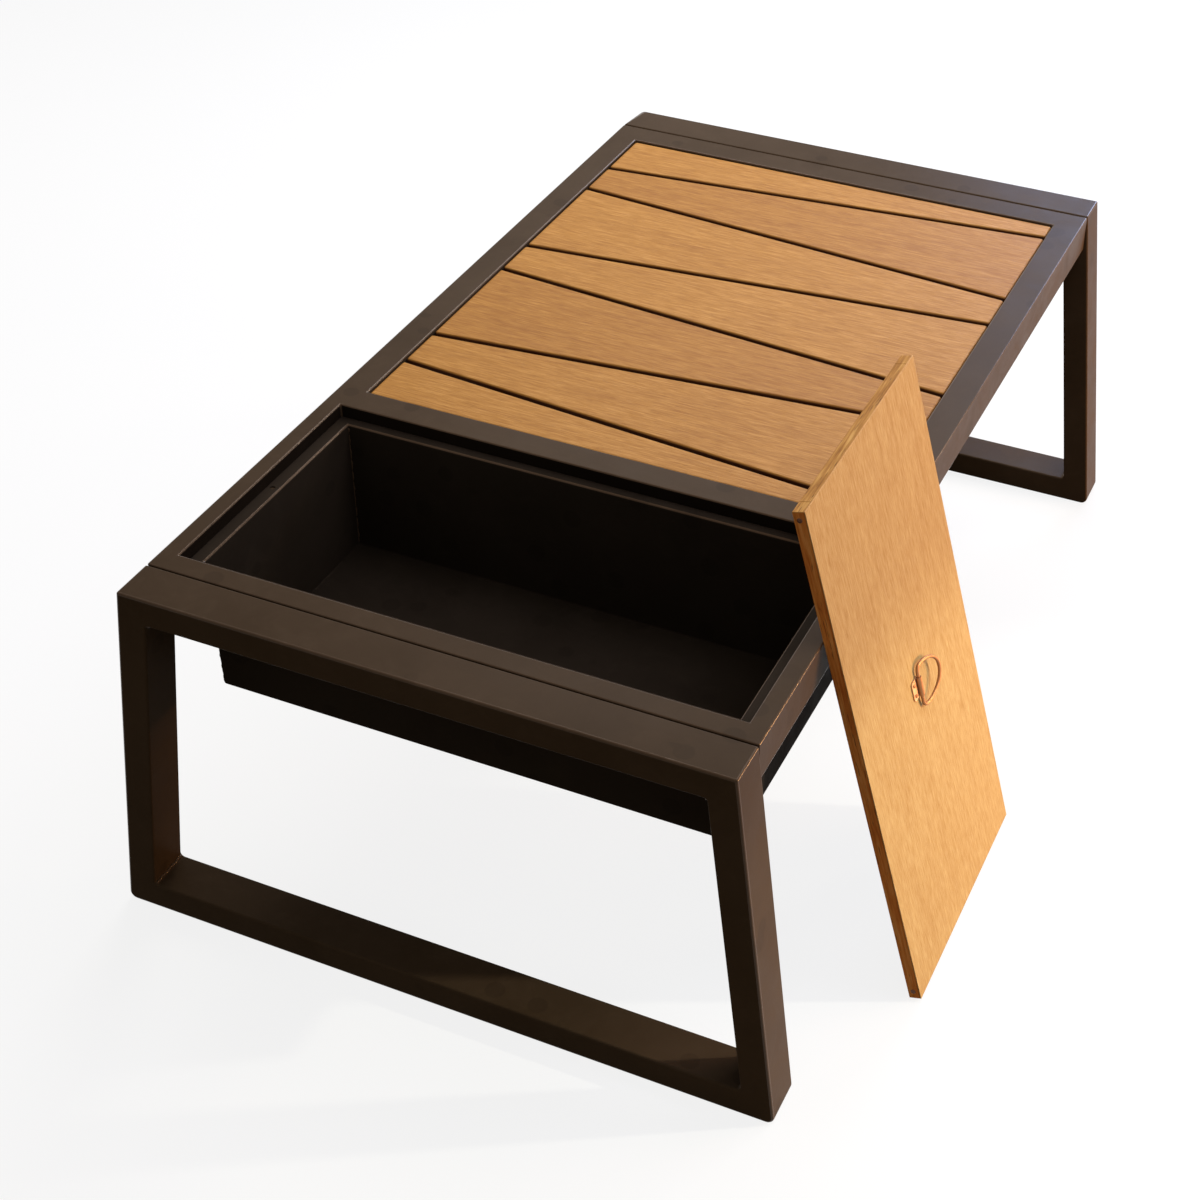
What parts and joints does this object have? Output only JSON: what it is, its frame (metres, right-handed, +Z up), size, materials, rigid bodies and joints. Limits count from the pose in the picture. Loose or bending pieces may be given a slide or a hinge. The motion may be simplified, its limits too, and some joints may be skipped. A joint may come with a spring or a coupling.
{
  "type": "ice bucket coffee table",
  "caption": "Low outdoor coffee table: splayed tube legs, tapered wood slats, a lift-out metal ice tub at one end, and the tub's wooden lid with a ring pull leaning on its side.",
  "frame": {"origin": "on the ground under the middle of everything, the leaning lid included", "axes": "+X across the table towards the leaning lid, +Y along the table away from the tub, +Z up"},
  "size_m": [0.8194, 1.2, 0.5645],
  "materials": {
    "bronze_frame": "satin powder coat",
    "bronze_tub": "satin powder coat",
    "slat_wood": "oiled, brushed grain",
    "lid_face_wood": "oiled",
    "lid_edge_wood": "sawn, oiled",
    "copper_pull": "polished",
    "steel_fixings": "plain"
  },
  "bodies": {
    "frame": {"near_foot_beam": "bronze_frame", "near_right_post": "bronze_frame", "near_top_beam": "bronze_frame", "near_left_post": "bronze_frame", "far_foot_beam": "bronze_frame", "far_right_post": "bronze_frame", "far_top_beam": "bronze_frame", "far_left_post": "bronze_frame", "left_side_rail": "bronze_frame", "left_slat_trim": "bronze_frame", "left_tub_ledge": "bronze_frame", "left_slat_bearer": "bronze_frame", "right_side_rail": "bronze_frame", "right_slat_trim": "bronze_frame", "right_tub_ledge": "bronze_frame", "right_slat_bearer": "bronze_frame", "near_rail": "bronze_frame", "middle_rail": "bronze_frame", "far_rail": "bronze_frame", "near_left_frame_bolt": "steel_fixings", "near_right_frame_bolt": "steel_fixings", "far_left_frame_bolt": "steel_fixings", "far_right_frame_bolt": "steel_fixings", "slat_1": "slat_wood", "slat_2": "slat_wood", "slat_3": "slat_wood", "slat_4": "slat_wood", "slat_5": "slat_wood", "slat_6": "slat_wood", "slat_7": "slat_wood", "left_slat_screw_1": "steel_fixings", "left_slat_screw_2": "steel_fixings", "left_slat_screw_3": "steel_fixings", "left_slat_screw_4": "steel_fixings", "left_slat_screw_5": "steel_fixings", "left_slat_screw_6": "steel_fixings", "left_slat_screw_7": "steel_fixings", "right_slat_screw_1": "steel_fixings", "right_slat_screw_2": "steel_fixings", "right_slat_screw_3": "steel_fixings", "right_slat_screw_4": "steel_fixings", "right_slat_screw_5": "steel_fixings", "right_slat_screw_6": "steel_fixings", "right_slat_screw_7": "steel_fixings"},
    "tub": {"tub": "bronze_tub"},
    "lid": {"lid_near_edge_strip": "lid_edge_wood", "lid_near_edge_screw_1": "steel_fixings", "lid_near_edge_screw_2": "steel_fixings", "lid_far_edge_strip": "lid_edge_wood", "lid_far_edge_screw_1": "steel_fixings", "lid_far_edge_screw_2": "steel_fixings", "lid_bottom_end_strip": "lid_edge_wood", "lid_top_end_strip": "lid_edge_wood", "lid_core_board": "lid_edge_wood", "lid_face_veneer": "lid_face_wood", "ring_hinge_plate": "copper_pull", "ring_plate_screw_1": "copper_pull", "ring_plate_screw_2": "copper_pull"},
    "ring": {"pull_ring": "copper_pull"}
  },
  "joints": [
    {"name": "tub_lift", "type": "slide", "parent": "frame", "child": "tub", "axis": [0, 0, 1], "range_m": [0, 0.08]},
    {"name": "lid_lift", "type": "slide", "parent": "frame", "child": "lid", "axis": [0, 0, 1], "range_m": [0, 0.45]},
    {"name": "ring_fold", "type": "hinge", "parent": "lid", "child": "ring", "pos_m": [0.33668, -0.2435, 0.28103], "axis": [0.2661, 0, -0.964], "range_deg": [-12, 168]}
  ]
}
